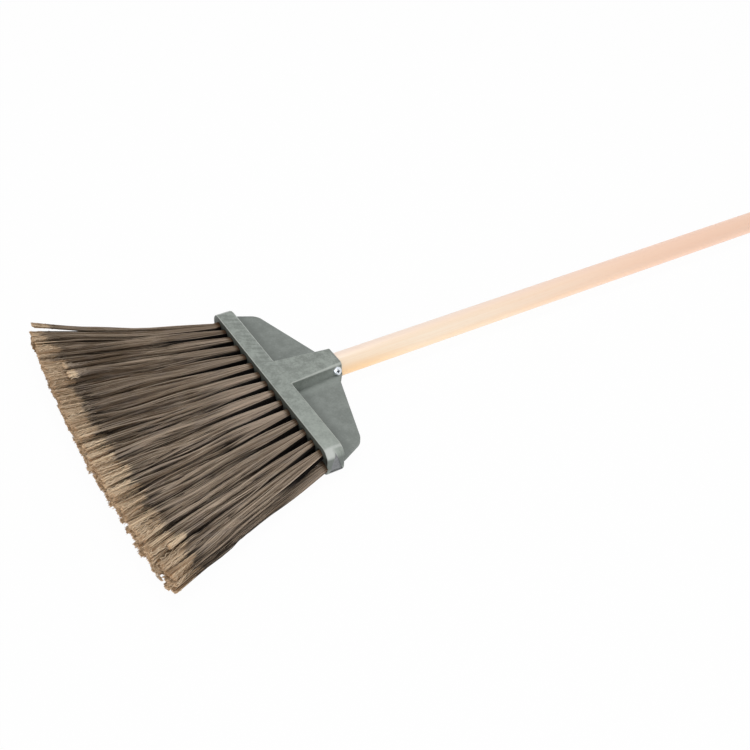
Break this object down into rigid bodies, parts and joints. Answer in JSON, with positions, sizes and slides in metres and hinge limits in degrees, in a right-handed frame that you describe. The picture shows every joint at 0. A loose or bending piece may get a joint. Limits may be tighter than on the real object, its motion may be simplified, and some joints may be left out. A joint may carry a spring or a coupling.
{
  "type": "broom",
  "caption": "Flat fan broom: stiff brown bristle tufts in a grey-green plastic head with a web and a tapered socket, screwed to a straight round wooden handle.",
  "frame": {"origin": "middle of the broom's footprint, on the surface that it lies on", "axes": "+Y up the handle, +X along the head to the side with the screw, +Z out of the front face"},
  "size_m": [0.369, 1.404, 0.03],
  "materials": {
    "block": "satin moulded plastic",
    "handle_wood": "smooth pale wood, clear coat",
    "screw_metal": "bright zinc plate",
    "bristles": "stiff brown filament with pale split ends",
    "staple_wire": "flat wire"
  },
  "bodies": {
    "broom": {"head_block": "block", "handle": "handle_wood", "front_tuft_01": "bristles", "front_tuft_02": "bristles", "front_tuft_03": "bristles", "front_tuft_04": "bristles", "front_tuft_05": "bristles", "front_tuft_06": "bristles", "front_tuft_07": "bristles", "front_tuft_08": "bristles", "front_tuft_09": "bristles", "front_tuft_10": "bristles", "front_tuft_11": "bristles", "front_tuft_12": "bristles", "front_tuft_13": "bristles", "front_tuft_14": "bristles", "front_tuft_15": "bristles", "back_tuft_01": "bristles", "back_tuft_02": "bristles", "back_tuft_03": "bristles", "back_tuft_04": "bristles", "back_tuft_05": "bristles", "back_tuft_06": "bristles", "back_tuft_07": "bristles", "back_tuft_08": "bristles", "back_tuft_09": "bristles", "back_tuft_10": "bristles", "back_tuft_11": "bristles", "back_tuft_12": "bristles", "back_tuft_13": "bristles", "back_tuft_14": "bristles", "back_tuft_15": "bristles", "back_tuft_16": "bristles", "front_staples": "staple_wire", "back_staples": "staple_wire"},
    "screw": {"handle_screw": "screw_metal"}
  },
  "joints": [
    {"name": "screw_withdraw", "type": "slide", "parent": "broom", "child": "screw", "axis": [0.9272, 0, 0.3746], "range_m": [0, 0.021]}
  ]
}
